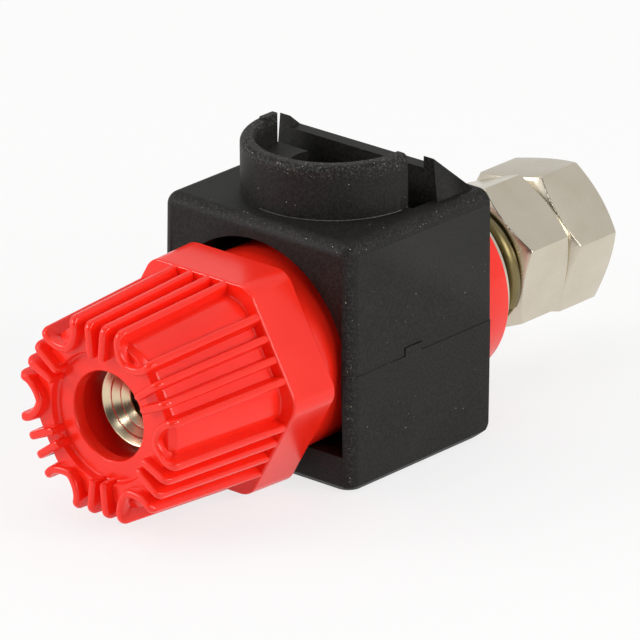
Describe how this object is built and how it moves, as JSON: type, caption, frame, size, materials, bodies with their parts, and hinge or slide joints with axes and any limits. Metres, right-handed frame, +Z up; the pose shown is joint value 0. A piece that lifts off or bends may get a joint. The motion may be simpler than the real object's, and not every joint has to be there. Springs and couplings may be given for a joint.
{
  "type": "insulated banana socket clamp terminal",
  "caption": "Panel terminal with a ribbed hexagonal knob around a 4 mm plug socket, a square insulating housing with a cable entry, and a threaded stud with nuts behind.",
  "frame": {"origin": "on the socket axis, in the panel plane at the rear face of the housing", "axes": "+Y along the socket axis from the knob towards the nuts behind the panel, +Z up towards the cable entry, +X to the right seen from the knob"},
  "size_m": [0.023, 0.0658, 0.029],
  "materials": {
    "red_polyamide": "moulded, semi-gloss",
    "black_polyamide": "moulded, fine eroded texture",
    "nickel_brass": "nickel plated, satin",
    "spring_steel": "passivated, olive"
  },
  "bodies": {
    "terminal": {"housing": "black_polyamide", "contact_stud": "nickel_brass", "socket_sleeve": "nickel_brass", "contact_plate": "nickel_brass", "insulating_ring": "red_polyamide", "flat_washer": "nickel_brass", "spring_washer": "spring_steel", "panel_nut": "nickel_brass", "lug_nut": "nickel_brass"},
    "clamp": {"pressure_sleeve": "red_polyamide", "pressure_plate": "nickel_brass"},
    "handle": {"knob": "red_polyamide", "knob_insert": "nickel_brass", "retaining_ring": "spring_steel"}
  },
  "joints": [
    {"name": "clamp_travel", "type": "slide", "parent": "terminal", "child": "clamp", "axis": [0, 1, 0], "range_m": [-0.00601, 0.00188]},
    {"name": "knob_turn", "type": "hinge", "parent": "clamp", "child": "handle", "pos_m": [0, -0.03, 0], "axis": [0, 1, 0], "range_deg": [-1728, 540]}
  ],
  "couplings": [
    {"joint": "clamp_travel", "follows": "knob_turn", "m_per_rad": 0.00019894}
  ]
}
